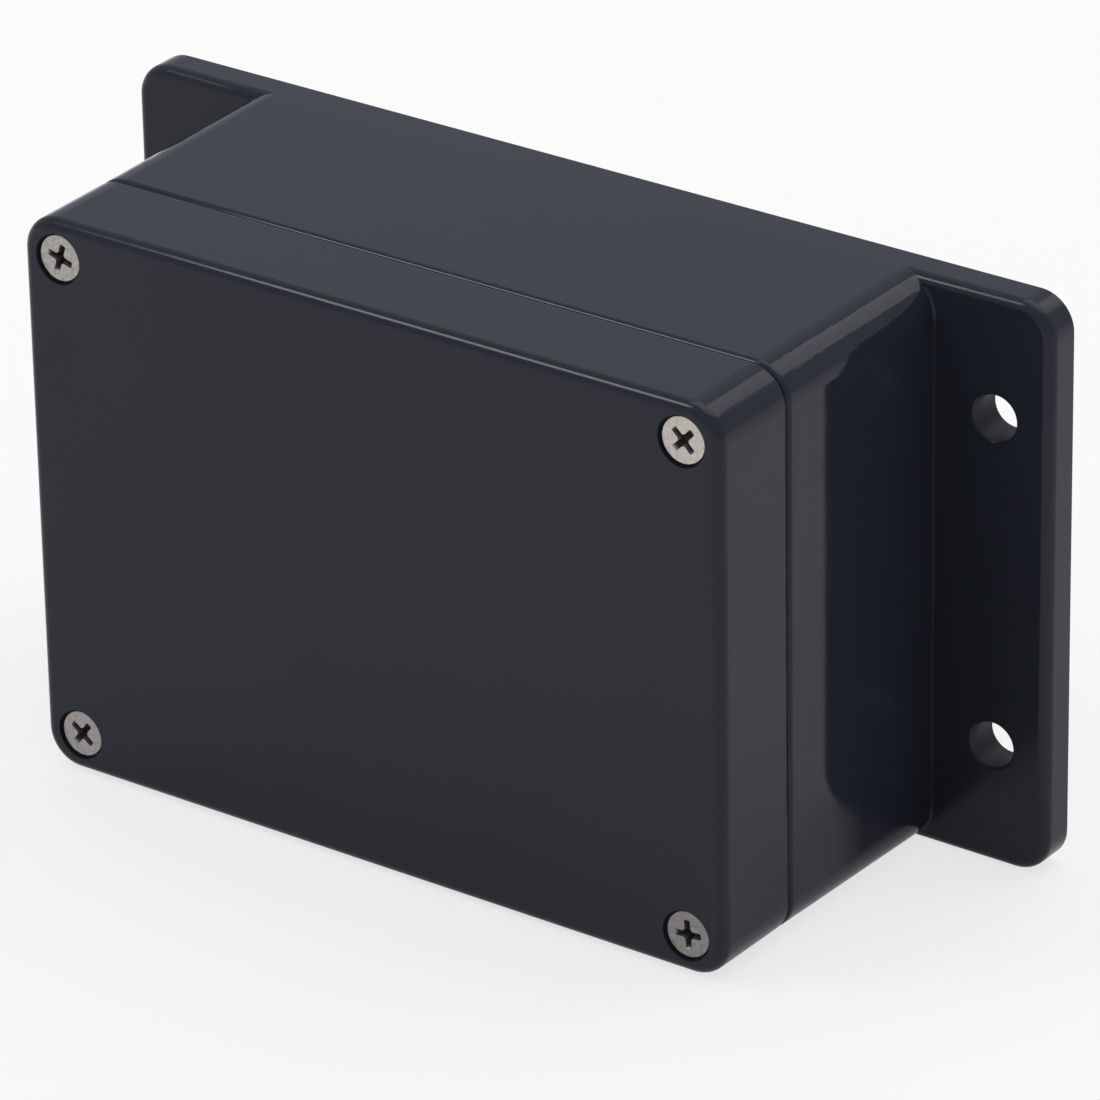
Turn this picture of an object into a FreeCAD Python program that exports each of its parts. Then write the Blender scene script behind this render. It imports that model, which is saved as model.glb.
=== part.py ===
import FreeCAD, Part
import math
import os

# Flanged plastic project box: a moulded base with two mounting ears, a lid on a foam seal, and four
# countersunk screws that run through the lid's corners into brass inserts in the base.
# Millimetres. The mounting back lies on Y = 0 and faces +Y, the lid faces -Y, +X runs along the box
# and +Z up its short side. The origin is the centre of the four mounting holes on the back.

# Outside of the base and lid
box_length = 123.4
box_height = 90.0
corner_radius = 5.8
base_depth = 42.1
base_draft_deg = 0.7
lid_depth = 16.35
lid_draft_deg = 0.3
seam_gap = 0.25
wall = 3.0
floor_thickness = 3.0
lid_face_thickness = 3.0

# Mounting flange, as high as the base where the two meet
flange_length = 164.0
flange_thickness = 6.0
flange_corner_radius = 5.6
mount_hole_radius = 3.6
mount_inset_x = 9.5
mount_inset_z = 18.8
foot_bevel = 0.35

# Edges broken in the mould
lid_front_edge = 1.7
lid_rim_edge = 0.6
base_rim_edge = 0.9
flange_front_edge = 1.6
flange_back_edge = 0.3
hole_edge = 0.25

# Tongue on the base, groove and inner rib on the lid
tongue_thickness = 1.4
tongue_height = 1.7
tongue_root = 2.0
tongue_clearance = 0.35
tongue_tip_chamfer = 0.3
groove_depth = 3.4
rib_thickness = 1.2
rib_root = 1.4
seal_turn_radius = 1.6
seal_least_turn = 0.3

# Foam seal at the bottom of the lid's groove
gasket_clearance = 0.1

# Corner pillars and lid screws
screw_inset_x = 6.65
screw_inset_z = 6.1
pillar_radius = 4.6
head_radius = 3.64
head_angle_deg = 90.0
head_rim = 0.35
head_recess = 0.5
screw_length = 25.0
thread_radius = 1.7
screw_tip_chamfer = 0.5
lid_hole_radius = 2.0
counterbore_radius = 4.0
sink_clearance = 0.1

# Cross recess in the head: two wings and a tapered core, turned anticlockwise seen from the front
recess_span = 4.5
recess_width = 1.0
recess_depth = 1.9
recess_taper_deg = 26.0
recess_core_radius = 0.95
recess_core_toe = 0.3
recess_turns_deg = {1: -17.0, 2: 46.0, 3: 52.0, 4: 5.0}

# Brass inserts in the pillars
insert_length = 9.5
insert_radius = 2.8
insert_bore_clearance = 0.06
insert_fit = 0.02
insert_groove_width = 1.2
insert_groove_depth = 0.35
pilot_clearance = 0.3
pilot_reserve = 4.0

# Board posts on the base's floor
post_inset_x = 17.7
post_inset_z = 19.0
post_radius = 3.4
post_height = 6.0
post_hole_radius = 1.25
post_hole_depth = 8.0
post_edge = 0.3

# What follows from the sizes above
seal_inset = wall - tongue_thickness
screw_spacing_x = box_length - 2 * screw_inset_x
screw_spacing_z = box_height - 2 * screw_inset_z
mount_spacing_x = flange_length - 2 * mount_inset_x
mount_spacing_z = box_height - 2 * mount_inset_z
post_spacing_x = box_length - 2 * post_inset_x
post_spacing_z = box_height - 2 * post_inset_z
rim_y = -base_depth
lid_rim_y = rim_y - seam_gap
lid_front_y = lid_rim_y - lid_depth
base_spread = (base_depth - flange_thickness) * math.tan(math.radians(base_draft_deg))
lid_shrink = lid_depth * math.tan(math.radians(lid_draft_deg))
flange_height = box_height + 2 * base_spread
cone_slope = 1 / math.tan(math.radians(head_angle_deg / 2))
head_y = lid_front_y + head_recess
cone_y = head_y + head_rim
screw_end_y = head_y + screw_length
post_top_y = -floor_thickness - post_height
groove_floor_y = lid_rim_y - groove_depth
tongue_tip_y = rim_y - tongue_height

CORNERS = {1: (-1, 1), 2: (1, 1), 3: (-1, -1), 4: (1, -1)}


def rounded_wire(corners, y):
    """Closed outline across Y through (x, z, radius) corners, given anticlockwise seen from -Y."""
    points = []
    for k, (x, z, radius) in enumerate(corners):
        here = FreeCAD.Vector(x, y, z)
        before = FreeCAD.Vector(corners[k - 1][0], y, corners[k - 1][1])
        after_corner = corners[(k + 1) % len(corners)]
        after = FreeCAD.Vector(after_corner[0], y, after_corner[1])
        inward = (before - here).normalize()
        onward = (after - here).normalize()
        half_turn = (math.pi - inward.getAngle(onward)) / 2
        cut = radius * math.tan(half_turn)
        bisector = (inward + onward).normalize()
        apex = here + bisector * (radius / math.cos(half_turn) - radius)
        points.append((here + inward * cut, apex, here + onward * cut))
    edges = []
    for k, (start, apex, end) in enumerate(points):
        edges.append(Part.Arc(start, apex, end).toShape())
        edges.append(Part.LineSegment(end, points[(k + 1) % len(points)][0]).toShape())
    return Part.Wire(edges)


def rectangle(length, height, radius, y):
    x, z = length / 2, height / 2
    return rounded_wire([(x, -z, radius), (x, z, radius), (-x, z, radius), (-x, -z, radius)], y)


def wall_line(grow, y):
    """The base's outer line, which widens towards the flange, moved outwards by grow."""
    out = grow + (y - rim_y) * math.tan(math.radians(base_draft_deg))
    return rectangle(box_length + 2 * out, box_height + 2 * out, corner_radius + grow, y)


def seal_line(grow, y):
    """The tongue's outer line, moved outwards by grow. It passes inside the four screws."""
    x = box_length / 2 - seal_inset + grow
    z = box_height / 2 - seal_inset + grow
    turn = max(seal_turn_radius + grow, seal_least_turn)
    notch = pillar_radius - grow
    notch_x = screw_spacing_x / 2 - notch
    notch_z = screw_spacing_z / 2 - notch
    upper_right = [(x, notch_z, turn), (notch_x, notch_z, notch), (notch_x, z, turn)]
    corners = list(upper_right)
    corners += [(-px, pz, radius) for px, pz, radius in reversed(upper_right)]
    corners += [(-px, -pz, radius) for px, pz, radius in upper_right]
    corners += [(px, -pz, radius) for px, pz, radius in reversed(upper_right)]
    return rounded_wire(corners, y)


def prism(wire, to_y):
    start_y = wire.Vertexes[0].Point.y
    return Part.Face(wire).extrude(FreeCAD.Vector(0, to_y - start_y, 0))


def ring(outer_grow, inner_grow, from_y, to_y):
    """A band that follows the seal line, between two offsets of it."""
    outer = prism(seal_line(outer_grow, from_y), to_y)
    return outer.cut(prism(seal_line(inner_grow, from_y), to_y))


def rod(radius, x, z, from_y, to_y):
    """A round bar along Y."""
    foot = FreeCAD.Vector(x, min(from_y, to_y), z)
    return Part.makeCylinder(radius, abs(to_y - from_y), foot, FreeCAD.Vector(0, 1, 0))


def cone(radius_from, radius_to, x, z, from_y, to_y):
    """A round taper along Y, from the lower Y to the higher one."""
    foot = FreeCAD.Vector(x, from_y, z)
    return Part.makeCone(radius_from, radius_to, to_y - from_y, foot, FreeCAD.Vector(0, 1, 0))


def edges_at(shape, y):
    """The edges that lie in one plane across Y."""
    flat = []
    for edge in shape.Edges:
        heights = [vertex.Point.y for vertex in edge.Vertexes]
        if all(abs(height - y) < 1e-4 for height in heights):
            flat.append(edge)
    return flat


def screw_place(number):
    side_x, side_z = CORNERS[number]
    return side_x * screw_spacing_x / 2, side_z * screw_spacing_z / 2


def rectangle_places(spacing_x, spacing_z):
    return [(sx * spacing_x / 2, sz * spacing_z / 2) for sx, sz in CORNERS.values()]


def board_post(x, z):
    """Round post on the floor, for a tapping screw that holds a circuit board."""
    post = rod(post_radius, x, z, -floor_thickness / 2, post_top_y)
    return post.makeChamfer(post_edge, edges_at(post, post_top_y))


def post_hole(x, z):
    """Cutter for a board post's blind hole."""
    return rod(post_hole_radius, x, z, post_top_y, post_top_y + post_hole_depth)


def mount_hole(x, z):
    """Cutter for an ear's through hole, with its edges broken front and back."""
    flare = mount_hole_radius + hole_edge
    hole = rod(mount_hole_radius, x, z, -flange_thickness, 0)
    front = cone(flare, mount_hole_radius, x, z, -flange_thickness, hole_edge - flange_thickness)
    back = cone(mount_hole_radius, flare, x, z, -hole_edge, 0)
    return hole.fuse([front, back])


def insert_hole(number):
    """Cutter for a pillar: a pocket for the brass insert, then a pilot for the screw's tip."""
    x, z = screw_place(number)
    pocket = rod(insert_radius + insert_fit, x, z, rim_y, rim_y + insert_length)
    pilot = rod(thread_radius + pilot_clearance, x, z, rim_y, screw_end_y + pilot_reserve)
    return pocket.fuse(pilot)


def flange():
    """Back plate that carries the two ears."""
    plate = prism(rectangle(flange_length, flange_height, flange_corner_radius, 0), -flange_thickness)
    plate = plate.makeFillet(flange_front_edge, edges_at(plate, -flange_thickness))
    return plate.makeFillet(flange_back_edge, edges_at(plate, 0))


def wall_foot():
    """Small bevel in the corner between the walls and the ears' front."""
    bevel_y = -flange_thickness - foot_bevel
    bevel = Part.makeLoft([wall_line(foot_bevel, -flange_thickness), wall_line(0, bevel_y)], True, True)
    within = rectangle(flange_length, flange_height - 2 * flange_front_edge, flange_corner_radius, 0)
    return bevel.common(prism(within, bevel_y))


def base_box():
    """One moulding: floor, walls, flange with ears, tongue, corner pillars and board posts."""
    foot = wall_line(0, -flange_thickness)
    walls = Part.makeLoft([foot, wall_line(0, rim_y)], True, True)
    walls = walls.makeFillet(base_rim_edge, edges_at(walls, rim_y))
    block = walls.fuse([prism(foot, -flange_back_edge), flange(), wall_foot()])
    cavity = prism(seal_line(-tongue_thickness, -floor_thickness), tongue_tip_y)
    tongue = ring(0, -tongue_thickness, rim_y + tongue_root, tongue_tip_y)
    tongue = tongue.makeChamfer(tongue_tip_chamfer, edges_at(tongue, tongue_tip_y))
    posts = [board_post(x, z) for x, z in rectangle_places(post_spacing_x, post_spacing_z)]
    solid = block.cut(cavity).fuse([tongue] + posts)
    holes = [mount_hole(x, z) for x, z in rectangle_places(mount_spacing_x, mount_spacing_z)]
    holes += [insert_hole(number) for number in CORNERS]
    holes += [post_hole(x, z) for x, z in rectangle_places(post_spacing_x, post_spacing_z)]
    return solid.cut(holes).removeSplitter()


def screw_sink(number):
    """Cutter for a lid corner: clearance hole, seat for the screw's cone, and a round pocket."""
    x, z = screw_place(number)
    seat_radius = head_radius + sink_clearance
    seat_end_y = cone_y + (seat_radius - lid_hole_radius) * cone_slope
    hole = rod(lid_hole_radius, x, z, lid_front_y, lid_rim_y)
    seat = cone(seat_radius, lid_hole_radius, x, z, cone_y, seat_end_y)
    pocket = rod(counterbore_radius, x, z, lid_front_y, cone_y)
    return hole.fuse([seat, pocket])


def lid():
    """One moulding: face, walls, groove, inner rib and four corner blocks with sunk screw holes."""
    back = rectangle(box_length, box_height, corner_radius, lid_rim_y)
    front = rectangle(box_length - 2 * lid_shrink, box_height - 2 * lid_shrink,
                      corner_radius - lid_shrink, lid_front_y)
    solid = Part.makeLoft([back, front], True, True)
    solid = solid.makeFillet(lid_front_edge, edges_at(solid, lid_front_y))
    solid = solid.makeFillet(lid_rim_edge, edges_at(solid, lid_rim_y))
    inside = prism(seal_line(-tongue_thickness, lid_rim_y), lid_front_y + lid_face_thickness)
    solid = solid.cut(inside)
    rib_outer = -tongue_thickness - tongue_clearance
    rib_end_y = groove_floor_y - rib_root
    rib = ring(0, rib_outer - rib_thickness, lid_rim_y, rib_end_y)
    solid = solid.fuse(rib)
    groove = ring(tongue_clearance, rib_outer, lid_rim_y, groove_floor_y)
    return solid.cut([groove] + [screw_sink(number) for number in CORNERS]).removeSplitter()


def gasket():
    """Foam cord seal, moulded to the groove, resting on the tongue's tip."""
    outer = tongue_clearance - gasket_clearance
    inner = -tongue_thickness - tongue_clearance + gasket_clearance
    return ring(outer, inner, tongue_tip_y, groove_floor_y)


def cross_recess(x, z, turn_deg):
    """Cutter for the driver: two crossed wings that narrow with depth, and a tapered core."""
    half_span = recess_span / 2
    half_width = recess_width / 2
    toe = half_span - recess_depth * math.tan(math.radians(recess_taper_deg))
    profile = [(-half_span, head_y), (half_span, head_y), (toe, head_y + recess_depth),
               (-toe, head_y + recess_depth)]
    points = [FreeCAD.Vector(x + px, py, z - half_width) for px, py in profile]
    wing = Part.Face(Part.makePolygon(points + points[:1])).extrude(FreeCAD.Vector(0, 0, recess_width))
    axis_foot = FreeCAD.Vector(x, 0, z)
    along = FreeCAD.Vector(0, 1, 0)
    wings = []
    for turn in (-turn_deg, 90 - turn_deg):
        turned = wing.copy()
        turned.rotate(axis_foot, along, turn)
        wings.append(turned)
    core = cone(recess_core_radius, recess_core_toe, x, z, head_y, head_y + recess_depth)
    return wings[0].fuse([wings[1], core])


def lid_screw(number):
    """Countersunk machine screw, held at the radius of its thread, head towards -Y."""
    x, z = screw_place(number)
    tip_y = screw_end_y - screw_tip_chamfer
    rim = rod(head_radius, x, z, head_y, cone_y)
    sink_end_y = cone_y + (head_radius - thread_radius) * cone_slope
    sink = cone(head_radius, thread_radius, x, z, cone_y, sink_end_y)
    shank = rod(thread_radius, x, z, cone_y, tip_y)
    tip = cone(thread_radius, thread_radius - screw_tip_chamfer, x, z, tip_y, screw_end_y)
    solid = rim.fuse([sink, shank, tip]).removeSplitter()
    return solid.cut(cross_recess(x, z, recess_turns_deg[number]))


def brass_insert(number):
    """Turned brass bush, with a relief groove that the plastic flows into."""
    x, z = screw_place(number)
    end_y = rim_y + insert_length
    groove_y = rim_y + insert_length / 2
    outer = rod(insert_radius, x, z, rim_y, end_y)
    bar = rod(insert_radius - insert_groove_depth, x, z, groove_y, groove_y + insert_groove_width)
    collar = rod(insert_radius, x, z, groove_y, groove_y + insert_groove_width)
    outer = outer.cut(collar.cut(bar))
    return outer.cut(rod(thread_radius + insert_bore_clearance, x, z, rim_y, end_y))


def main():
    os.makedirs("parts", exist_ok=True)
    pieces = {"base_box": base_box(), "lid": lid(), "gasket": gasket()}
    for number in CORNERS:
        pieces[f"lid_screw_{number}"] = lid_screw(number)
        pieces[f"brass_insert_{number}"] = brass_insert(number)
    for name, shape in pieces.items():
        print(name, "valid", shape.isValid(), "solids", len(shape.Solids), "volume", round(shape.Volume, 1))
        shape.exportStep(f"parts/{name}.step")


main()
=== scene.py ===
import math

import bmesh
import bpy
from mathutils import Matrix, Vector


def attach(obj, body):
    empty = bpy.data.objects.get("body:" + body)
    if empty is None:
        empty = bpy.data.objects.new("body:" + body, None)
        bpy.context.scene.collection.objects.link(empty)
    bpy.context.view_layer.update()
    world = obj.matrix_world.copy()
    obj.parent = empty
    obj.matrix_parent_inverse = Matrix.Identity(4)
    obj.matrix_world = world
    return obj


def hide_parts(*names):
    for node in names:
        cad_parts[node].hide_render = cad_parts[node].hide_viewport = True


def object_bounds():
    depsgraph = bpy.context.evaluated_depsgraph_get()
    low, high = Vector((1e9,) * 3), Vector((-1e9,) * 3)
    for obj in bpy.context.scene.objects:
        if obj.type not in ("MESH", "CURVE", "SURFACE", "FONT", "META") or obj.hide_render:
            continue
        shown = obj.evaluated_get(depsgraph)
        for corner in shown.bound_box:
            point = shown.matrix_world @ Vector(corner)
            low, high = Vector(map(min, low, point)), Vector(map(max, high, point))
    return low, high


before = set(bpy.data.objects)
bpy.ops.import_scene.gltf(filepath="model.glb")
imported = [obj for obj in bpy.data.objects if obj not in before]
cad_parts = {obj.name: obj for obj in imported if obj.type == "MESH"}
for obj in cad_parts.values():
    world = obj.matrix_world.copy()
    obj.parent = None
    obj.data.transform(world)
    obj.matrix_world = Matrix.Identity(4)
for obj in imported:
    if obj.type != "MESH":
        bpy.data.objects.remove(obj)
cad_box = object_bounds()

# Studio camera
# A long lens looks at the box from the right and above. The lens is given by the width of the
# photograph, 1100 pixels, on a 36 mm sensor.
photo_width_px = 1100
focal_px = 7977.6
sensor_width_mm = 36
sight_end = 20
camera_azimuth_deg = 36.151
camera_height_deg = 26.340
camera_roll_deg = -1.036
camera_distance = 1.1601
camera_target = Vector((0.01143, -0.030, -0.00157))

azimuth = math.radians(camera_azimuth_deg)
height = math.radians(camera_height_deg)
roll = math.radians(camera_roll_deg)
towards_camera = Vector((
    math.sin(azimuth) * math.cos(height), -math.cos(azimuth) * math.cos(height), math.sin(height)))
level_right = (-towards_camera).cross(Vector((0, 0, 1))).normalized()
level_up = level_right.cross(-towards_camera)
camera_right = level_right * math.cos(roll) + level_up * math.sin(roll)
camera_up = level_up * math.cos(roll) - level_right * math.sin(roll)
camera_data = bpy.data.cameras.new("camera")
camera_data.sensor_width = sensor_width_mm
camera_data.lens = focal_px / photo_width_px * sensor_width_mm
camera_data.clip_end = sight_end
camera = bpy.data.objects.new("camera", camera_data)
camera.matrix_world = Matrix((camera_right, camera_up, towards_camera)).transposed().to_4x4()
camera.matrix_world.translation = camera_target + towards_camera * camera_distance
bpy.context.scene.collection.objects.link(camera)
bpy.context.scene.camera = camera
bpy.context.scene.view_settings.view_transform = "Standard"

# Base box
# One injection moulding in black ABS with a polished outside: floor, walls, two ears, tongue and
# pillars. Its faces keep the mould's faint waviness, and the inside is left as the spark eroded it.
abs_sheen = 0.215
cloud_fineness = 34.0
flow_run = (18.0, 60.0, 240.0)
flow_turn = (0.1, 0.3, 0.2)
grain_fineness = 5200.0
peel_fineness = 300.0
scratch_run = (70.0, 90.0, 3800.0)
scratch_turn = (0.2, 0.55, 0.1)
scratch_level = (0.70, 0.76)
scratch_patch_level = (0.50, 0.66)
scratch_dullness = 0.07
dust_cells = 520.0
dust_radius = 0.035
dust_core = 0.02
clean_share = 0.84
dust_dullness = 0.5
dust_amount = 0.7
dust_colour = (0.16, 0.155, 0.15, 1)
spark_fineness = 2600.0
spark_depth = 1.2e-5
pin_depth = 3e-5
pin_edge = 8e-5
pin_polish = 0.16
wall_x = 0.0621
wall_skin = 0.00045
ear_front_y = -0.0059
back_skin_y = -0.0002
dull_from_x = 0.0625
dull_full_x = 0.068
ear_dullness = 0.12
ear_hole_x = 0.0725
ear_hole_z = 0.0262
ear_hole_reach = 0.0037
ear_hole_dullness = 0.30
fade_gone_y = -0.031
fade_full_y = -0.024
fade_gone_z = 0.0405
fade_full_z = 0.0385
sheen_lost = 0.195
fade_dullness = 0.9


def add_node(tree, kind, sockets=None, **settings):
    """A shader node. Each socket gets a value, or a link where another node's socket is given."""
    made = tree.nodes.new(kind)
    for name, value in settings.items():
        setattr(made, name, value)
    for name, value in (sockets or {}).items():
        if isinstance(value, bpy.types.NodeSocket):
            tree.links.new(value, made.inputs[name])
        else:
            made.inputs[name].default_value = value
    return made


def work_out(tree, operation, *terms, use_clamp=False):
    """The result of a Math node. Each term is a number or a socket."""
    made = add_node(
        tree, "ShaderNodeMath", dict(enumerate(terms)), operation=operation, use_clamp=use_clamp)
    return made.outputs["Value"]


def work_out_vector(tree, operation, *terms):
    """The result of a Vector Math node. Each term is a vector or a socket."""
    made = add_node(tree, "ShaderNodeVectorMath", dict(enumerate(terms)), operation=operation)
    return made.outputs["Value" if operation == "LENGTH" else "Vector"]


def ramp(tree, value, start, end, low=0.0, high=1.0):
    """The value, taken from the range of start and end to that of low and high."""
    made = add_node(tree, "ShaderNodeMapRange", {
        "Value": value, "From Min": start, "From Max": end, "To Min": low, "To Max": high})
    return made.outputs["Result"]


def noise(tree, place, scale, detail=0.0, roughness=0.5):
    """Cloudy noise from 0 to 1."""
    return add_node(tree, "ShaderNodeTexNoise", {
        "Vector": place, "Scale": scale, "Detail": detail, "Roughness": roughness}).outputs["Fac"]


def stretched(tree, place, scale, turn):
    """The place, scaled and turned, for a pattern that runs one way."""
    return add_node(tree, "ShaderNodeMapping", {
        "Vector": place, "Scale": scale, "Rotation": turn}).outputs["Vector"]


def mix_colours(tree, share, first, second):
    """The first colour, or the second where the share is 1."""
    return add_node(tree, "ShaderNodeMix", {
        "Factor": share, "A": first, "B": second}, data_type="RGBA").outputs["Result"]


def new_group(name, inputs, outputs):
    """An empty shader node group with its sockets, and its input and output nodes."""
    tree = bpy.data.node_groups.new(name, "ShaderNodeTree")
    for socket, kind in inputs.items():
        tree.interface.new_socket(socket, in_out="INPUT", socket_type=kind)
    for socket, kind in outputs.items():
        tree.interface.new_socket(socket, in_out="OUTPUT", socket_type=kind)
    return tree, tree.nodes.new("NodeGroupInput").outputs, tree.nodes.new("NodeGroupOutput").inputs


def new_material(name):
    """A material with its tree, its Principled shader and the object's own coordinates."""
    material = bpy.data.materials.new(name)
    material.use_nodes = True
    tree = material.node_tree
    place = add_node(tree, "ShaderNodeTexCoord").outputs["Object"]
    return material, tree, tree.nodes["Principled BSDF"], place


def moulded_plastic():
    """Surface of a moulding: pigment clouds, flow lines, fine grain, orange peel, hairlines and dust."""
    tree, given, result = new_group(
        "moulded_plastic",
        {"Place": "NodeSocketVector", "Pigment": "NodeSocketColor", "Cloud": "NodeSocketColor",
         "Gloss": "NodeSocketFloat", "Gloss spread": "NodeSocketFloat", "Grain depth": "NodeSocketFloat",
         "Peel depth": "NodeSocketFloat", "Dust": "NodeSocketFloat"},
        {"Colour": "NodeSocketColor", "Roughness": "NodeSocketFloat", "Height": "NodeSocketFloat"})
    place = given["Place"]
    cloud = noise(tree, place, cloud_fineness, detail=2.0, roughness=0.6)
    flow = noise(tree, stretched(tree, place, flow_run, flow_turn), 1.0, detail=1.0)
    grain = noise(tree, place, grain_fineness)
    peel = noise(tree, place, peel_fineness)

    # Hairlines from handling: long thin streaks, in patches
    scratch = noise(tree, stretched(tree, place, scratch_run, scratch_turn), 1.0)
    thin = ramp(tree, scratch, *scratch_level)
    hairline = work_out(tree, "MULTIPLY", thin, ramp(tree, cloud, *scratch_patch_level))

    # Dust: one cell in six carries a speck
    cells = add_node(tree, "ShaderNodeTexVoronoi", {"Vector": place, "Scale": dust_cells}).outputs
    chance = add_node(tree, "ShaderNodeSeparateColor", {"Color": cells["Color"]}).outputs["Red"]
    chosen = work_out(tree, "GREATER_THAN", chance, clean_share)
    settled = work_out(tree, "MULTIPLY", ramp(tree, cells["Distance"], dust_radius, dust_core), chosen)
    dust = work_out(tree, "MULTIPLY", settled, given["Dust"])

    clouded = mix_colours(tree, cloud, given["Pigment"], given["Cloud"])
    tree.links.new(mix_colours(tree, dust, clouded, dust_colour), result["Colour"])

    off_middle = work_out(tree, "SUBTRACT", flow, 0.5)
    gloss = work_out(tree, "MULTIPLY_ADD", off_middle, given["Gloss spread"], given["Gloss"])
    scuffed = work_out(tree, "MULTIPLY_ADD", hairline, scratch_dullness, gloss)
    dull = work_out(tree, "MULTIPLY_ADD", dust, dust_dullness, scuffed, use_clamp=True)
    tree.links.new(dull, result["Roughness"])

    grained = work_out(tree, "MULTIPLY", grain, given["Grain depth"])
    tree.links.new(work_out(tree, "MULTIPLY_ADD", peel, given["Peel depth"], grained), result["Height"])
    return tree


def four_discs():
    """Four discs that mirror each other across both middles, such as ejector pins: a mask and a height."""
    tree, given, result = new_group(
        "four_discs",
        {"Place": "NodeSocketVector", "Across": "NodeSocketFloat", "Up": "NodeSocketFloat",
         "Radius": "NodeSocketFloat"},
        {"Disc": "NodeSocketFloat", "Height": "NodeSocketFloat"})
    folded = work_out_vector(tree, "ABSOLUTE", given["Place"])
    centre = add_node(tree, "ShaderNodeCombineXYZ", {"X": given["Across"], "Z": given["Up"]})
    offset = work_out_vector(tree, "SUBTRACT", folded, centre.outputs["Vector"])
    away = work_out_vector(tree, "LENGTH", work_out_vector(tree, "MULTIPLY", offset, (1, 0, 1)))
    disc = ramp(tree, work_out(tree, "SUBTRACT", away, given["Radius"]), pin_edge, -pin_edge)
    tree.links.new(disc, result["Disc"])
    tree.links.new(work_out(tree, "MULTIPLY", disc, -pin_depth), result["Height"])
    return tree


plastic_surface = moulded_plastic()
disc_surface = four_discs()


def black_abs(name, pigment, cloud, gloss, gloss_spread, grain_depth, peel_depth,
              inside_middle, inside_reach, inside_gloss, pin_across, pin_up, pin_radius):
    """Black moulded plastic, polished outside. Inside the reach it is spark-eroded, with pin marks."""
    material, tree, shader, place = new_material(name)
    surface = add_node(tree, "ShaderNodeGroup", node_tree=plastic_surface)
    for socket, value in (("Pigment", pigment), ("Cloud", cloud), ("Gloss", gloss),
                          ("Gloss spread", gloss_spread), ("Grain depth", grain_depth),
                          ("Peel depth", peel_depth), ("Dust", dust_amount)):
        surface.inputs[socket].default_value = value
    tree.links.new(place, surface.inputs["Place"])
    surface = surface.outputs

    # The hollow inside, from how far a point is from the middle of each axis
    off = work_out_vector(tree, "ABSOLUTE", work_out_vector(tree, "SUBTRACT", place, inside_middle))
    share = work_out_vector(tree, "DIVIDE", off, inside_reach)
    share = add_node(tree, "ShaderNodeSeparateXYZ", {"Vector": share}).outputs
    widest = work_out(tree, "MAXIMUM", work_out(tree, "MAXIMUM", share["X"], share["Y"]), share["Z"])
    inside = work_out(tree, "LESS_THAN", widest, 1.0)
    pins = add_node(tree, "ShaderNodeGroup", node_tree=disc_surface)
    for socket, value in (("Across", pin_across), ("Up", pin_up), ("Radius", pin_radius)):
        pins.inputs[socket].default_value = value
    tree.links.new(place, pins.inputs["Place"])
    polished_pin = work_out(tree, "MULTIPLY_ADD", pins.outputs["Disc"], -pin_polish, inside_gloss)

    # The ears are duller than the walls, but for the flat back
    axes = add_node(tree, "ShaderNodeSeparateXYZ", {"Vector": place}).outputs
    sideways = work_out(tree, "ABSOLUTE", axes["X"])
    on_ear = ramp(tree, sideways, dull_from_x, dull_full_x)
    off_back = work_out(tree, "LESS_THAN", axes["Y"], back_skin_y)
    dull_ear = work_out(tree, "MULTIPLY", on_ear, off_back)
    eared = work_out(tree, "MULTIPLY_ADD", dull_ear, ear_dullness, surface["Roughness"])

    # The end walls lose their sheen towards the ears, where the polishing stone could hardly reach
    on_wall = work_out(tree, "COMPARE", sideways, wall_x, wall_skin)
    before_ear = work_out(tree, "LESS_THAN", axes["Y"], ear_front_y)
    below_edge = ramp(tree, work_out(tree, "ABSOLUTE", axes["Z"]), fade_gone_z, fade_full_z)
    towards_ear = ramp(tree, axes["Y"], fade_gone_y, fade_full_y, high=sheen_lost)
    here = work_out(tree, "MULTIPLY", on_wall, before_ear)
    lost = work_out(tree, "MULTIPLY", here, work_out(tree, "MULTIPLY", below_edge, towards_ear))
    outer = work_out(tree, "MULTIPLY_ADD", lost, fade_dullness, eared)

    # The walls of the ear holes keep the rough finish of the mould's core pins
    ear_hole = add_node(tree, "ShaderNodeGroup", node_tree=disc_surface)
    for socket, value in (("Across", ear_hole_x), ("Up", ear_hole_z), ("Radius", ear_hole_reach)):
        ear_hole.inputs[socket].default_value = value
    tree.links.new(place, ear_hole.inputs["Place"])
    cored = work_out(tree, "MULTIPLY_ADD", ear_hole.outputs["Disc"], ear_hole_dullness, outer)
    roughness = add_node(
        tree, "ShaderNodeMix", {"Factor": inside, "A": cored, "B": polished_pin}, data_type="FLOAT")

    pin_height = work_out(tree, "MULTIPLY", inside, pins.outputs["Height"])
    eroded = work_out(tree, "MULTIPLY", noise(tree, place, spark_fineness, detail=1.0), inside)
    sparked = work_out(tree, "MULTIPLY_ADD", eroded, spark_depth, pin_height)
    relief = work_out(tree, "ADD", sparked, surface["Height"])
    bump = add_node(tree, "ShaderNodeBump", {"Height": relief, "Distance": 1.0})
    tree.links.new(surface["Colour"], shader.inputs["Base Color"])
    tree.links.new(roughness.outputs["Result"], shader.inputs["Roughness"])
    tree.links.new(bump.outputs["Normal"], shader.inputs["Normal"])
    shader.inputs["Specular IOR Level"].default_value = abs_sheen
    tree.links.new(work_out(tree, "SUBTRACT", abs_sheen, lost), shader.inputs["Specular IOR Level"])
    return material


base_plastic = black_abs(
    "base_plastic", pigment=(0.0158, 0.0184, 0.0248, 1), cloud=(0.0190, 0.0221, 0.0292, 1),
    gloss=0.06, gloss_spread=0.04, grain_depth=6e-7, peel_depth=3e-6,
    inside_middle=(0, -0.0234, 0), inside_reach=(0.0601, 0.0204, 0.0434), inside_gloss=0.42,
    pin_across=0.040, pin_up=0.020, pin_radius=0.0030)
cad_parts["base_box"].material_slots[0].material = base_plastic

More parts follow.
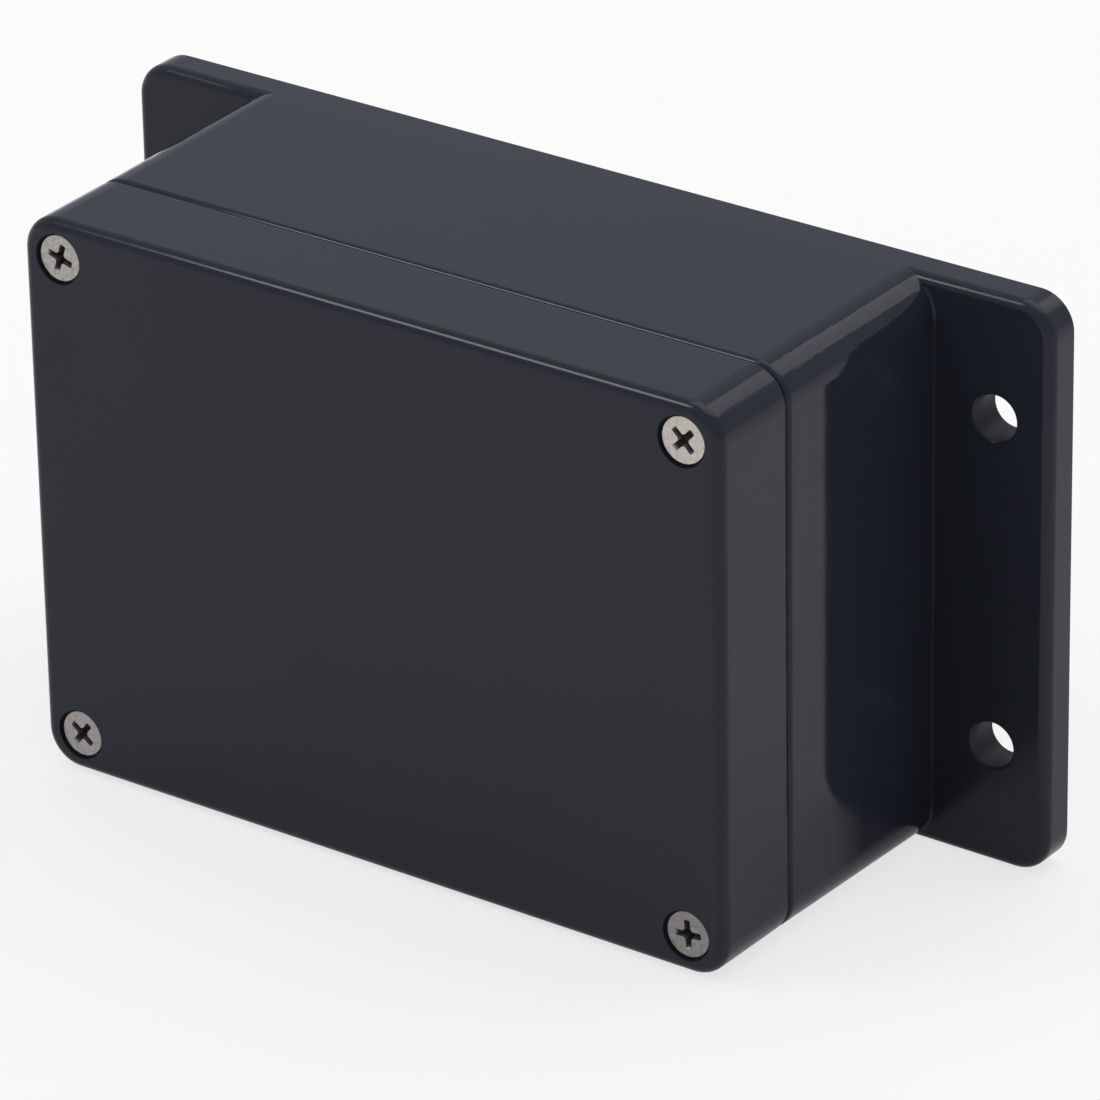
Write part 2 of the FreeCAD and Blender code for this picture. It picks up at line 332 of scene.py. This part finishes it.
# Lid
# A second moulding in the same black ABS, sealed to the base by its groove. Its face is a touch
# less polished than the walls, and it is fixed by the four screws.
lid_plastic = black_abs(
    "lid_plastic", pigment=(0.0154, 0.0176, 0.0236, 1), cloud=(0.0185, 0.0211, 0.0281, 1),
    gloss=0.11, gloss_spread=0.05, grain_depth=9e-7, peel_depth=2.5e-6,
    inside_middle=(0, -0.0489, 0), inside_reach=(0.0601, 0.0068, 0.0434), inside_gloss=0.45,
    pin_across=0.030, pin_up=0.024, pin_radius=0.0025)
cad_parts["lid"].material_slots[0].material = lid_plastic

# Foam seal
# A closed-cell foam cord laid in the lid's groove, dark grey, with the skin of its cells showing.
# The lid presses it onto the base's tongue.
cell_wall_colour = (0.020, 0.020, 0.021, 1)
cell_colour = (0.10, 0.10, 0.098, 1)
cell_fineness = 2400.0
cell_depth = 1.2e-4
cell_strength = 0.6
foam_cloud_fineness = 260.0
foam_least_rough = 0.78
foam_most_rough = 0.95

foam, tree, shader, place = new_material("seal_foam")
foam_cells = add_node(tree, "ShaderNodeTexVoronoi", {"Vector": place, "Scale": cell_fineness})
cell_height = foam_cells.outputs["Distance"]
foam_cloud = noise(tree, place, foam_cloud_fineness, detail=3.0)
foam_shade = work_out(tree, "MULTIPLY", cell_height, foam_cloud)
foam_rough = ramp(tree, foam_cloud, 0.0, 1.0, foam_least_rough, foam_most_rough)
foam_bump = add_node(tree, "ShaderNodeBump", {
    "Height": cell_height, "Distance": cell_depth, "Strength": cell_strength})
tree.links.new(mix_colours(tree, foam_shade, cell_wall_colour, cell_colour), shader.inputs["Base Color"])
tree.links.new(foam_rough, shader.inputs["Roughness"])
tree.links.new(foam_bump.outputs["Normal"], shader.inputs["Normal"])
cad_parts["gasket"].material_slots[0].material = foam

# Lid screws
# Four flat-head machine screws of 3.5 mm in nickel-plated steel, with a pressed cross recess and a
# rolled thread. Each stands in a corner of the lid and is turned as it stopped when it was tightened.
head_y = -0.0582
screw_x = 0.05505
screw_z = 0.0389
head_radius = 0.00364
head_rim = 0.00035
head_sides = 48
rim_bevel = 0.00014
rim_bevel_shoulder = 0.3
crease_deg = 20
core_radius = 0.00138
crest_radius = 0.0017
thread_pitch = 0.0007
thread_root_half = 0.00033
thread_crest_half = 0.00005
thread_sink = 0.0002
thread_end_gap = 0.0004
thread_head_gap = 0.0003
thread_least = 0.08
steps_a_turn = 20
screw_length = 0.025
tip_chamfer = 0.0005
recess_half_span = 0.00225
recess_half_width = 0.0005
recess_core = 0.00082
recess_depth = 0.0019
recess_taper = 0.62
recess_tip_round = 0.00015
recess_mouth_round = 0.00004
pit_depth = 0.0004
pit_taper = 0.45
ring_waves = 52000.0
ring_share = 0.4
stain_fineness = 1500.0
stain_level = (0.36, 0.68)
stain_dullness = 0.14
# Painted shade and dirt: the deep parts of the screws' recesses and the bushes' bores are made darker,
# duller and less metallic
shade_and_dirt_colour = (0.07, 0.065, 0.06, 1)
shade_and_dirt_fade = 5e-4
shade_and_dirt_cover = 0.55
shade_and_dirt_dullness = 0.3


def edges_between(verts):
    """The edges that join two of the given vertices, once each and always in the same order."""
    chosen = set(verts)
    return list(dict.fromkeys(
        edge for vert in verts for edge in vert.link_edges if set(edge.verts) <= chosen))


def verts_in(made):
    """The vertices among what an operator made."""
    return [item for item in made if isinstance(item, bmesh.types.BMVert)]


def turn_down(bm, ring, profile):
    """Extrudes a round ring of edges through (radius, height) pairs. The first pair is its own."""
    for (radius, level), (next_radius, next_level) in zip(profile, profile[1:]):
        corners = verts_in(bmesh.ops.extrude_edge_only(bm, edges=ring)["geom"])
        bmesh.ops.scale(bm, verts=corners, vec=(next_radius / radius, next_radius / radius, 1))
        bmesh.ops.translate(bm, verts=corners, vec=(0, 0, next_level - level))
        ring = edges_between(corners)
    return ring


def stand_in_box(bm, x, z, y):
    """Turns a piece that was made upright to face -Y, and puts its top face's middle at its place."""
    bmesh.ops.rotate(bm, verts=bm.verts, matrix=Matrix.Rotation(math.radians(90), 3, "X"))
    bmesh.ops.translate(bm, verts=bm.verts, vec=(x, y, z))


def finish_piece(name, bm, material):
    """Makes the mesh an object, smooth but for its creases."""
    bmesh.ops.recalc_face_normals(bm, faces=bm.faces)
    mesh = bpy.data.meshes.new(name)
    bm.to_mesh(mesh)
    bm.free()
    mesh.shade_smooth()
    mesh.set_sharp_from_angle(angle=math.radians(crease_deg))
    mesh.materials.append(material)
    piece = bpy.data.objects.new(name, mesh)
    bpy.context.scene.collection.objects.link(piece)
    return piece


def turned_metal():
    """Metal off a lathe or a press: fine rings round the axis, stains, and painted shade with dirt where it
    is deep.
    """
    tree, given, result = new_group(
        "turned_metal",
        {"Place": "NodeSocketVector", "Metal": "NodeSocketColor", "Stain": "NodeSocketColor",
         "Shine": "NodeSocketFloat", "Ring depth": "NodeSocketFloat", "Shade and dirt from": "NodeSocketFloat",
         "Shade and dirt reach": "NodeSocketFloat", "Shade and dirt taper": "NodeSocketFloat"},
        {"Colour": "NodeSocketColor", "Roughness": "NodeSocketFloat", "Metallic": "NodeSocketFloat",
         "Height": "NodeSocketFloat"})
    place = given["Place"]
    away = work_out_vector(tree, "LENGTH", work_out_vector(tree, "MULTIPLY", place, (1, 0, 1)))
    wander = noise(tree, place, stain_fineness, detail=2.0, roughness=0.65)
    mottle = ramp(tree, wander, *stain_level)
    stained = mix_colours(tree, mottle, given["Metal"], given["Stain"])

    # Painted shade and dirt: darker, duller and less metallic in the deep parts near the axis, within a
    # reach that narrows with the depth
    depth = add_node(tree, "ShaderNodeSeparateXYZ", {"Vector": place}).outputs["Y"]
    deep = ramp(tree, depth, given["Shade and dirt from"], work_out(tree, "ADD", given["Shade and dirt from"], shade_and_dirt_fade))
    slanted = work_out(tree, "MULTIPLY_ADD", depth, given["Shade and dirt taper"], away)
    shade_and_dirt = work_out(tree, "MULTIPLY", deep, work_out(tree, "LESS_THAN", slanted, given["Shade and dirt reach"]))
    tree.links.new(mix_colours(tree, shade_and_dirt, stained, shade_and_dirt_colour), result["Colour"])
    tree.links.new(work_out(tree, "MULTIPLY_ADD", shade_and_dirt, -shade_and_dirt_cover, 1.0), result["Metallic"])
    rough = work_out(tree, "MULTIPLY_ADD", mottle, stain_dullness, given["Shine"])
    tree.links.new(work_out(tree, "MULTIPLY_ADD", shade_and_dirt, shade_and_dirt_dullness, rough), result["Roughness"])

    wave = work_out(tree, "SINE", work_out(tree, "MULTIPLY", away, ring_waves))
    broken = work_out(tree, "MULTIPLY_ADD", wave, ring_share, wander)
    tree.links.new(work_out(tree, "MULTIPLY", broken, given["Ring depth"]), result["Height"])
    return tree


metal_surface = turned_metal()


def bright_metal(name, axis, metal, stain, shine, ring_depth, shade_and_dirt_from, shade_and_dirt_reach, shade_and_dirt_taper):
    """Metal whose pattern is centred on its own axis by a Mapping node."""
    material, tree, shader, place = new_material(name)
    centred = add_node(tree, "ShaderNodeMapping", {"Vector": place, "Location": [-value for value in axis]})
    surface = add_node(tree, "ShaderNodeGroup", node_tree=metal_surface)
    for socket, value in (("Metal", metal), ("Stain", stain), ("Shine", shine), ("Ring depth", ring_depth),
                          ("Shade and dirt from", shade_and_dirt_from), ("Shade and dirt reach", shade_and_dirt_reach), ("Shade and dirt taper", shade_and_dirt_taper)):
        surface.inputs[socket].default_value = value
    tree.links.new(centred.outputs["Vector"], surface.inputs["Place"])
    bump = add_node(tree, "ShaderNodeBump", {"Height": surface.outputs["Height"], "Distance": 1.0})
    tree.links.new(surface.outputs["Colour"], shader.inputs["Base Color"])
    tree.links.new(surface.outputs["Roughness"], shader.inputs["Roughness"])
    tree.links.new(surface.outputs["Metallic"], shader.inputs["Metallic"])
    tree.links.new(bump.outputs["Normal"], shader.inputs["Normal"])
    return material


def cross_head_screw(turn_deg):
    """A screw made upright: the head's face at height 0, the tip down."""
    # The cross starts as an octagon with a wing drawn out of every second side
    bm = bmesh.new()
    eighth = Matrix.Rotation(math.tau / 16, 4, "Z")
    core = bmesh.ops.create_circle(bm, cap_ends=True, segments=8, radius=1, matrix=eighth)["verts"]
    for vert in core:
        across, up = abs(vert.co.x), abs(vert.co.y)
        along = recess_core if across > up else recess_half_width
        aside = recess_half_width if across > up else recess_core
        vert.co = (math.copysign(along, vert.co.x), math.copysign(aside, vert.co.y), 0)
    # Its long sides are as wide as a wing, less a little for rounding
    roots = [edge for edge in bm.edges if edge.calc_length() > recess_half_width * 1.9]
    tips = []
    for root in roots:
        outwards = (root.verts[0].co + root.verts[1].co).normalized()
        ends = verts_in(bmesh.ops.extrude_edge_only(bm, edges=[root])["geom"])
        bmesh.ops.translate(bm, verts=ends, vec=outwards * (recess_half_span - recess_core))
        tips += ends
    bmesh.ops.bevel(
        bm, geom=tips, offset=recess_tip_round, segments=2, profile=0.5, affect="VERTICES", material=-1)
    bmesh.ops.rotate(bm, verts=bm.verts, matrix=Matrix.Rotation(math.radians(turn_deg), 3, "Z"))
    recess = list(bm.faces)
    mouth = [edge for edge in bm.edges if edge.is_boundary]

    # The head's face round the cross, and the recess with the pit of the punch's point
    rim_radius = head_radius - rim_bevel
    rim_edges = edges_between(bmesh.ops.create_circle(bm, segments=head_sides, radius=rim_radius)["verts"])
    bmesh.ops.triangle_fill(bm, use_beauty=True, edges=mouth + rim_edges)
    sunk = bmesh.ops.extrude_face_region(bm, geom=recess)["geom"]
    bmesh.ops.delete(bm, geom=recess, context="FACES")
    floor_verts = verts_in(sunk)
    bmesh.ops.scale(bm, verts=floor_verts, vec=(recess_taper, recess_taper, 1))
    bmesh.ops.translate(bm, verts=floor_verts, vec=(0, 0, -recess_depth))
    floor_faces = [item for item in sunk if isinstance(item, bmesh.types.BMFace)]
    middle = min(floor_faces, key=lambda face: face.calc_center_median().xy.length)
    pit = bmesh.ops.extrude_discrete_faces(bm, faces=[middle])["faces"][0]
    bmesh.ops.scale(bm, verts=pit.verts, vec=(pit_taper, pit_taper, 1))
    bmesh.ops.translate(bm, verts=pit.verts, vec=(0, 0, -pit_depth))
    bmesh.ops.bevel(
        bm, geom=mouth, offset=recess_mouth_round, segments=2, profile=0.5, affect="EDGES", material=-1)

    cone_end = head_rim + head_radius - core_radius
    shoulder = rim_bevel * rim_bevel_shoulder
    last = turn_down(bm, rim_edges, [
        (rim_radius, 0), (head_radius - shoulder, -shoulder), (head_radius, -rim_bevel),
        (head_radius, -head_rim), (core_radius, -cone_end), (core_radius, -screw_length + tip_chamfer),
        (core_radius - tip_chamfer, -screw_length)])
    bmesh.ops.holes_fill(bm, edges=last, sides=0)

    # The thread is a ridge wound up the shank, running out at both ends
    low = thread_end_gap - screw_length
    turns = (screw_length - cone_end - thread_end_gap - thread_head_gap) / thread_pitch
    steps = round(turns * steps_a_turn)
    ridge = bmesh.ops.create_circle(bm, segments=4, radius=1)["verts"]
    shape = ((core_radius - thread_sink, -thread_root_half), (core_radius - thread_sink, thread_root_half),
             (crest_radius, thread_crest_half), (crest_radius, -thread_crest_half))
    for vert, (radius, level) in zip(ridge, shape):
        vert.co = (radius, 0, low + level)
    ridge_edges = edges_between(ridge)
    before = set(bm.verts)
    bmesh.ops.spin(
        bm, geom=ridge + ridge_edges, cent=(0, 0, 0), axis=(0, 0, 1),
        dvec=(0, 0, thread_pitch / steps_a_turn), angle=math.tau * steps / steps_a_turn, steps=steps,
        use_merge=False)
    wound = [vert for vert in bm.verts if vert not in before] + ridge
    top = low + steps * thread_pitch / steps_a_turn
    sunk_radius = core_radius - thread_sink / 2
    for vert in wound:
        radius = math.hypot(vert.co.x, vert.co.y)
        if radius > core_radius:
            to_end = min(vert.co.z - low, top - vert.co.z) / thread_pitch + thread_least
            keep = sunk_radius + (radius - sunk_radius) * min(1, max(0, to_end))
            vert.co.x *= keep / radius
            vert.co.y *= keep / radius
    bmesh.ops.holes_fill(bm, edges=[edge for edge in bm.edges if edge.is_boundary], sides=4)
    return bm


# Each screw's side of the middle across and up, its cross's turn, and its plating's two tones, metal and
# stain. The tones are also set lighter or darker from screw to screw as painted light and shade: screw 2
# brightest, screw 4 darkest.
screws = {
    1: (-1, 1, -17, (0.46, 0.435, 0.405, 1), (0.34, 0.32, 0.295, 1)),
    2: (1, 1, 46, (0.62, 0.57, 0.50, 1), (0.50, 0.46, 0.40, 1)),
    3: (-1, -1, 52, (0.44, 0.405, 0.38, 1), (0.34, 0.31, 0.285, 1)),
    4: (1, -1, 5, (0.34, 0.32, 0.295, 1), (0.25, 0.235, 0.215, 1)),
}
for number, (side_x, side_z, turn_deg, metal, stain) in screws.items():
    x, z = side_x * screw_x, side_z * screw_z
    # The cross recess is darkened from just below the head's face: painted shade and dirt
    nickel = bright_metal(
        f"nickel_{number}", (x, head_y, z), metal, stain, shine=0.30, ring_depth=5e-7,
        shade_and_dirt_from=1.2e-4, shade_and_dirt_reach=0.0024, shade_and_dirt_taper=0.5)
    bm = cross_head_screw(turn_deg)
    stand_in_box(bm, x, z, head_y)
    screw = finish_piece(f"screw_{number}_plated", bm, nickel)
    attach(screw, f"screw_{number}")
    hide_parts(f"lid_screw_{number}")

# Brass inserts
# Four turned and straight-knurled brass bushes, pressed hot into the base's pillars to take the
# screws. The groove round their middle fills with plastic and holds them.
insert_rim_y = -0.0421
insert_radius = 0.0028
insert_chamfer = 0.00018
insert_length = 0.0095
insert_groove_radius = 0.00245
insert_groove_top = 0.0046
insert_groove_end = 0.0061
insert_groove_slope = 0.00015
insert_bore = 0.00176
insert_bore_chamfer = 0.0002
insert_foot_bore = 0.00192
knurl_root = 0.00264
knurl_teeth = 36
brass_colour = (0.78, 0.57, 0.26, 1)
brass_stain = (0.55, 0.37, 0.15, 1)


def knurled_bush():
    """A bush made upright, its top face at height 0."""
    bm = bmesh.new()
    mouth_radius = insert_bore + insert_bore_chamfer
    face_radius = insert_radius - insert_chamfer
    first = bmesh.ops.create_circle(bm, segments=knurl_teeth * 2, radius=mouth_radius)["verts"]
    start = edges_between(first)
    last = turn_down(bm, start, [
        (mouth_radius, 0), (face_radius, 0), (insert_radius, -insert_chamfer),
        (insert_radius, -insert_groove_top),
        (insert_groove_radius, -insert_groove_top - insert_groove_slope),
        (insert_groove_radius, -insert_groove_end + insert_groove_slope),
        (insert_radius, -insert_groove_end), (insert_radius, -insert_length + insert_chamfer),
        (face_radius, -insert_length), (insert_foot_bore, -insert_length),
        (insert_bore, -insert_length + insert_bore_chamfer), (insert_bore, -insert_bore_chamfer)])
    bmesh.ops.bridge_loops(bm, edges=start + last)
    tooth = math.tau / knurl_teeth
    for vert in bm.verts:
        gap = round(math.atan2(vert.co.y, vert.co.x) / (tooth / 2)) % 2
        if gap and vert.co.xy.length > insert_radius * 0.99:
            vert.co.xy *= knurl_root / insert_radius
    return bm


for number, (side_x, side_z, *rest) in screws.items():
    x, z = side_x * screw_x, side_z * screw_z
    # The bore is darkened from half a millimetre down: painted shade and dirt
    brass = bright_metal(
        f"brass_{number}", (x, insert_rim_y, z), brass_colour, brass_stain, shine=0.24, ring_depth=1.2e-6,
        shade_and_dirt_from=0.0005, shade_and_dirt_reach=0.0018, shade_and_dirt_taper=0.0)
    bm = knurled_bush()
    stand_in_box(bm, x, z, insert_rim_y)
    bush = finish_piece(f"insert_{number}_knurled", bm, brass)
    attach(bush, "base")
    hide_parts(f"brass_insert_{number}")

# Studio
# White paper on a table, a pale room, and softboxes: one overhead, one high behind on the right, and
# a strip of two high in front on the left, level with the box, which lights the lid's front edge.
paper_colour = (0.885, 0.870, 0.835, 1)
paper_fibre_colour = (0.900, 0.885, 0.850, 1)
paper_fibre_fineness = 900.0
paper_roughness = 0.9
paper_sheen = 0.1
white_in_camera = (1, 1, 1, 1)
white_in_mirror = (0.97, 0.99, 1.07, 1)
share_in_camera = 0.72
share_in_mirror = 0.30
room_colour = (0.94, 0.97, 1.08, 1)
room_strength = 0.575
table_half_width = 6

paper, tree, shader, place = new_material("white_paper")
fibre = noise(tree, place, paper_fibre_fineness, detail=3.0)
tone = mix_colours(tree, fibre, paper_colour, paper_fibre_colour)
tree.links.new(tone, shader.inputs["Base Color"])
shader.inputs["Roughness"].default_value = paper_roughness
shader.inputs["Specular IOR Level"].default_value = paper_sheen
seen = add_node(tree, "ShaderNodeLightPath").outputs
by_mirror = work_out(tree, "MAXIMUM", seen["Is Glossy Ray"], seen["Is Transmission Ray"])
mirror_share = work_out(tree, "MULTIPLY", by_mirror, share_in_mirror)
white_share = work_out(tree, "MULTIPLY_ADD", seen["Is Camera Ray"], share_in_camera, mirror_share)
white_tone = mix_colours(tree, seen["Is Camera Ray"], white_in_mirror, white_in_camera)
white = add_node(tree, "ShaderNodeEmission", {"Color": white_tone, "Strength": 1.0}).outputs["Emission"]
blend = add_node(tree, "ShaderNodeMixShader", {0: white_share, 1: shader.outputs["BSDF"], 2: white})
tree.links.new(blend.outputs["Shader"], tree.nodes["Material Output"].inputs["Surface"])
bm = bmesh.new()
bmesh.ops.create_grid(bm, x_segments=1, y_segments=1, size=table_half_width)
bmesh.ops.translate(bm, verts=bm.verts, vec=(0, 0, cad_box[0][2]))
table_mesh = bpy.data.meshes.new("table")
bm.to_mesh(table_mesh)
bm.free()
table_mesh.materials.append(paper)
table = bpy.data.objects.new("table", table_mesh)
bpy.context.scene.collection.objects.link(table)

room = bpy.data.worlds.new("room")
room.use_nodes = True
room.node_tree.nodes["Background"].inputs["Color"].default_value = room_colour
room.node_tree.nodes["Background"].inputs["Strength"].default_value = room_strength
bpy.context.scene.world = room


def softbox(name, place, back, width, depth, radiance):
    """A rectangular lamp at its place, with its back towards the given direction and its width level."""
    lamp = bpy.data.lights.new(name, "AREA")
    lamp.shape = "RECTANGLE"
    lamp.size = width
    lamp.size_y = depth
    lamp.energy = radiance * math.pi * width * depth
    stand = bpy.data.objects.new(name, lamp)
    stand.matrix_world = Vector(back).to_track_quat("Z", "Y").to_matrix().to_4x4()
    stand.matrix_world.translation = place
    bpy.context.scene.collection.objects.link(stand)


softbox("overhead", (0.12, 0.38, 1.36), (0.088, 0.28, 1.0), width=1.4, depth=1.2, radiance=1.42)
softbox("back_right", (0.401, 1.155, 1.043), (0.25, 0.72, 0.65), width=0.9, depth=0.4, radiance=1.35)
softbox("strip_left", (-0.764, -0.645, 1.095), (0, -0.508, 0.862), width=0.228, depth=0.42, radiance=8.0)
softbox("strip_right", (-0.525, -0.645, 1.095), (0, -0.508, 0.862), width=0.25, depth=0.42, radiance=4.4)
